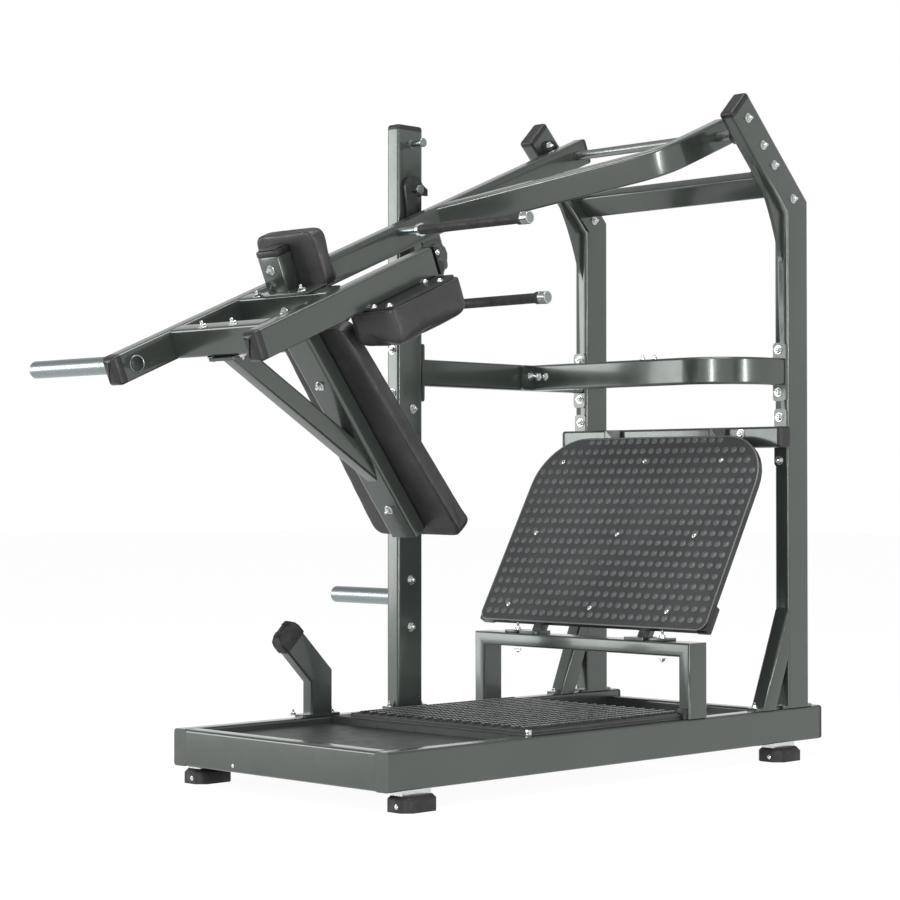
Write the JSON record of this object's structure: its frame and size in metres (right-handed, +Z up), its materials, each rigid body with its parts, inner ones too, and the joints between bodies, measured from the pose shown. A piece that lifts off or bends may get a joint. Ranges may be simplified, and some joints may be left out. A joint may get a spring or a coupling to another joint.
{
  "type": "pendulum hack squat machine",
  "caption": "Plate-loaded pendulum squat machine: a padded arm swings from two arched uprights over a sloping foot plate.",
  "frame": {"origin": "on the floor, under the middle of the machine's outline", "axes": "+X from the weight horn at the front to the uprights at the rear, +Y from the near side to the side that carries the weight horn, +Z up"},
  "size_m": [2.1138, 1.18, 1.9498],
  "materials": {
    "paint": "glossy gunmetal powder coat",
    "chrome": "polished",
    "black_plastic": "satin",
    "rubber": "matte",
    "vinyl": "fine grained vinyl",
    "dark_steel": "satin black coat",
    "tread_metal": "ribbed, brushed"
  },
  "bodies": {
    "frame": {"base_rail_near": "paint", "base_rail_far": "paint", "base_cross_front": "paint", "base_cross_rear": "paint", "rail_cap_near": "black_plastic", "rail_cap_far": "black_plastic", "foot_front_near": "rubber", "foot_rear_near": "rubber", "foot_front_far": "rubber", "foot_rear_far": "rubber", "floor_pan": "paint", "tread_plate": "tread_metal", "front_post": "paint", "front_post_cap": "black_plastic", "storage_peg": "chrome", "upper_peg": "chrome", "upright_near": "paint", "upright_far": "paint", "arm_cap_near": "black_plastic", "arm_cap_far": "black_plastic", "rear_brace_near": "paint", "rear_brace_far": "paint", "pivot_bearing_near": "dark_steel", "pivot_bearing_far": "dark_steel", "top_crossbar": "paint", "mid_bar_straight": "paint", "mid_bar_bent": "paint", "plate_support": "paint", "support_cap_near": "black_plastic", "support_cap_far": "black_plastic", "foot_plate": "dark_steel", "plate_rail_near": "paint", "plate_rail_far": "paint", "plate_stand": "paint", "stop_stub": "paint", "stop_rubber": "rubber"},
    "hook": {"lock_hook": "dark_steel"},
    "arm": {"main_beam": "paint", "catch_stud": "chrome", "main_beam_cap_front": "black_plastic", "main_beam_cap_rear": "black_plastic", "weight_horn": "chrome", "near_beam": "paint", "near_beam_cap_front": "black_plastic", "near_beam_cap_rear": "black_plastic", "cross_tube_front": "paint", "cross_tube_rear": "paint", "fork_arm": "paint", "pivot_shaft": "dark_steel", "handle_rod_upper": "chrome", "handle_grip_upper": "rubber", "handle_rod_lower": "chrome", "handle_grip_lower": "rubber", "headrest_post": "paint", "headrest_pad": "vinyl", "back_tube": "paint", "back_brace": "paint", "back_pad": "vinyl", "shoulder_pad_near": "vinyl", "shoulder_pad_far": "vinyl"}
  },
  "joints": [
    {"name": "arm_swing", "type": "hinge", "parent": "frame", "child": "arm", "pos_m": [0.73067, -0.145, 1.84135], "axis": [0, 1, 0], "range_deg": [-23, 15]},
    {"name": "hook_turn", "type": "hinge", "parent": "frame", "child": "hook", "pos_m": [0.09913, 0.216, 1.684], "axis": [0, 1, 0], "range_deg": [-30, 13]}
  ]
}
